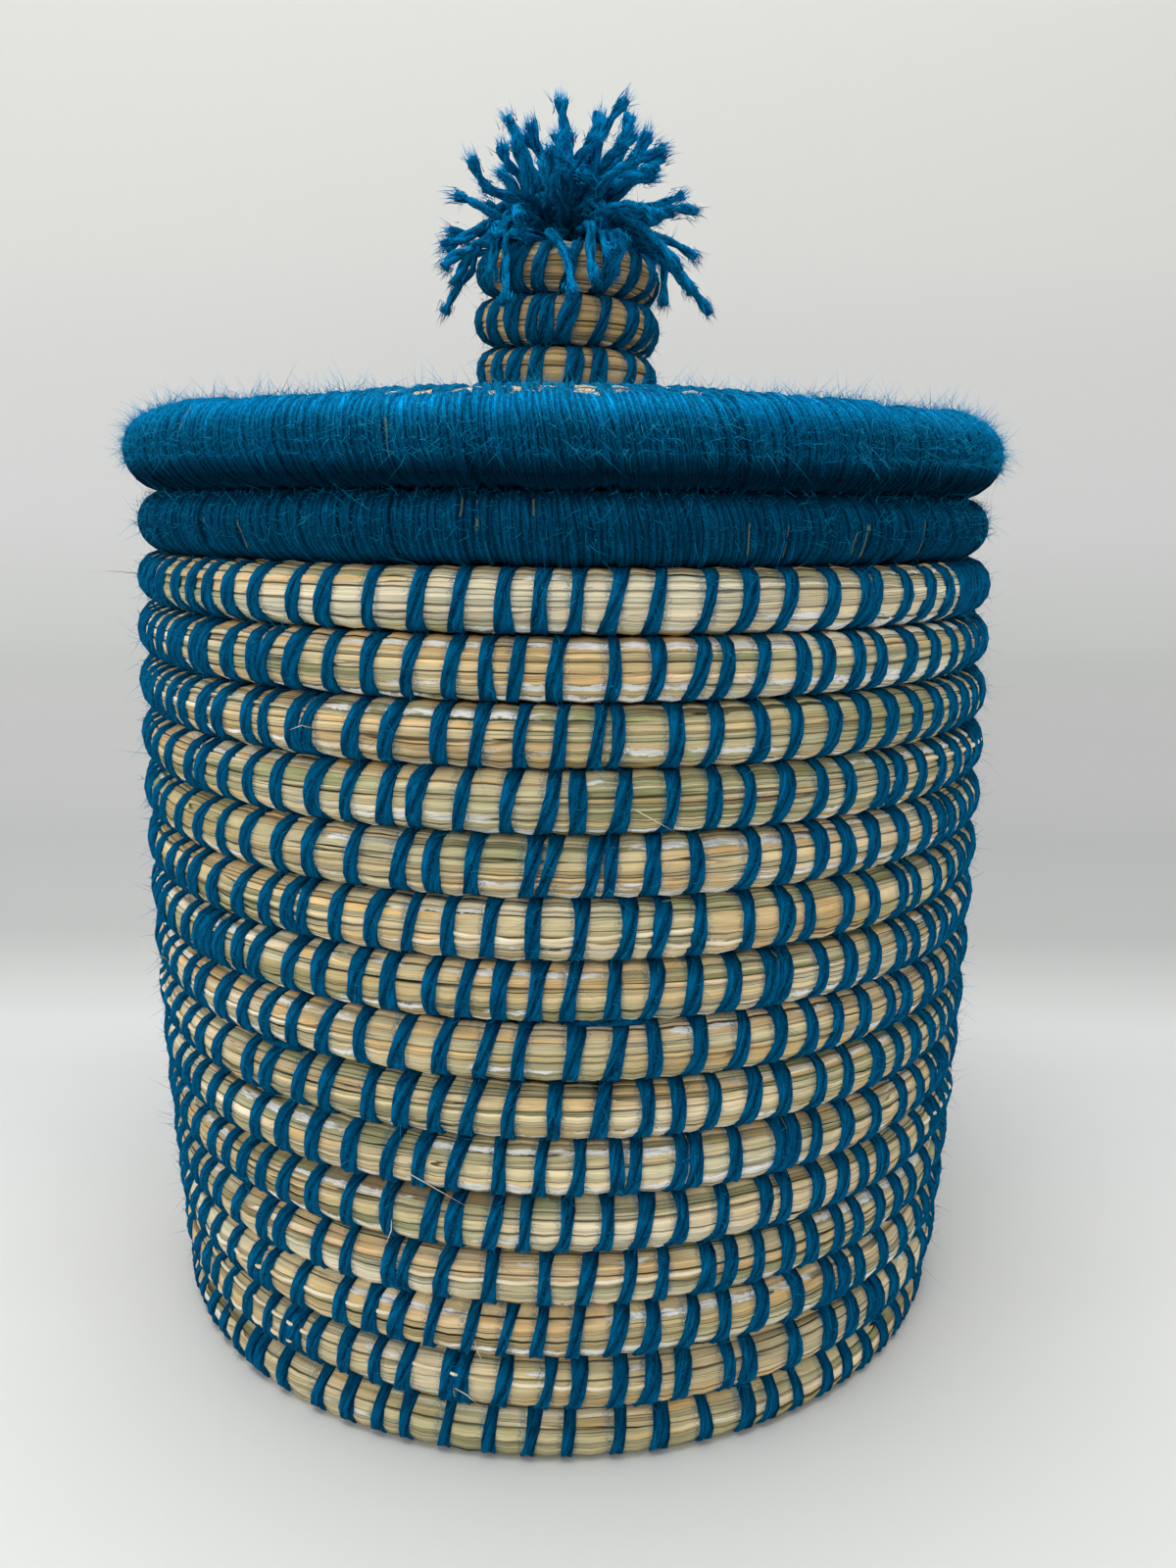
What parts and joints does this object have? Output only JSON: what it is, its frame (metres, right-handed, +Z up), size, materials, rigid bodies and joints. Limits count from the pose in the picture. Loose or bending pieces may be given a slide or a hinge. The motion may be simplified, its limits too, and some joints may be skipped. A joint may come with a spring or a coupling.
{
  "type": "lidded rush basket",
  "caption": "Round coiled rush storage basket stitched and rimmed in blue wool, with a loose domed lid, a coiled knob and a wool tassel.",
  "frame": {"origin": "centre of the basket's round footprint, on the surface that it stands on", "axes": "+Z up along the basket's axis, -Y towards the front seen in the picture, +X to the right of that view"},
  "size_m": [0.2352, 0.2352, 0.3243],
  "materials": {
    "rush": "dry matt rush stems, tan and olive with pale pith",
    "rush_core": "dry matt rush stems under a wrap",
    "wool": "fuzzy two-ply wool yarn, matt",
    "tassel_wool": "fuzzy two-ply wool yarn, matt"
  },
  "bodies": {
    "basket": {"base_coil": "rush", "wall_coil": "rush", "rim_core": "rush_core", "rim_wrap": "wool"},
    "lid": {"lid_coil": "rush", "lid_rim_core": "rush_core", "lid_rim_wrap": "wool", "lid_lip_row": "rush", "knob_coil": "rush", "tassel_tie": "wool", "tassel_strand_0_01": "tassel_wool", "tassel_strand_1_01": "tassel_wool", "tassel_strand_1_02": "tassel_wool", "tassel_strand_1_03": "tassel_wool", "tassel_strand_1_04": "tassel_wool", "tassel_strand_1_05": "tassel_wool", "tassel_strand_1_06": "tassel_wool", "tassel_strand_2_01": "tassel_wool", "tassel_strand_2_02": "tassel_wool", "tassel_strand_2_03": "tassel_wool", "tassel_strand_2_04": "tassel_wool", "tassel_strand_2_05": "tassel_wool", "tassel_strand_2_06": "tassel_wool", "tassel_strand_2_07": "tassel_wool", "tassel_strand_2_08": "tassel_wool", "tassel_strand_2_09": "tassel_wool", "tassel_strand_2_10": "tassel_wool", "tassel_strand_2_11": "tassel_wool", "tassel_strand_2_12": "tassel_wool", "tassel_strand_3_01": "tassel_wool", "tassel_strand_3_02": "tassel_wool", "tassel_strand_3_03": "tassel_wool", "tassel_strand_3_04": "tassel_wool", "tassel_strand_3_05": "tassel_wool", "tassel_strand_3_06": "tassel_wool", "tassel_strand_3_07": "tassel_wool", "tassel_strand_3_08": "tassel_wool", "tassel_strand_3_09": "tassel_wool", "tassel_strand_3_10": "tassel_wool", "tassel_strand_3_11": "tassel_wool", "tassel_strand_3_12": "tassel_wool", "tassel_strand_3_13": "tassel_wool", "tassel_strand_3_14": "tassel_wool", "tassel_strand_3_15": "tassel_wool", "tassel_strand_3_16": "tassel_wool", "tassel_strand_3_17": "tassel_wool", "tassel_strand_3_18": "tassel_wool"}
  },
  "joints": [
    {"name": "lid_lift", "type": "slide", "parent": "basket", "child": "lid", "axis": [0, 0, 1], "range_m": [0, 0.25]}
  ]
}
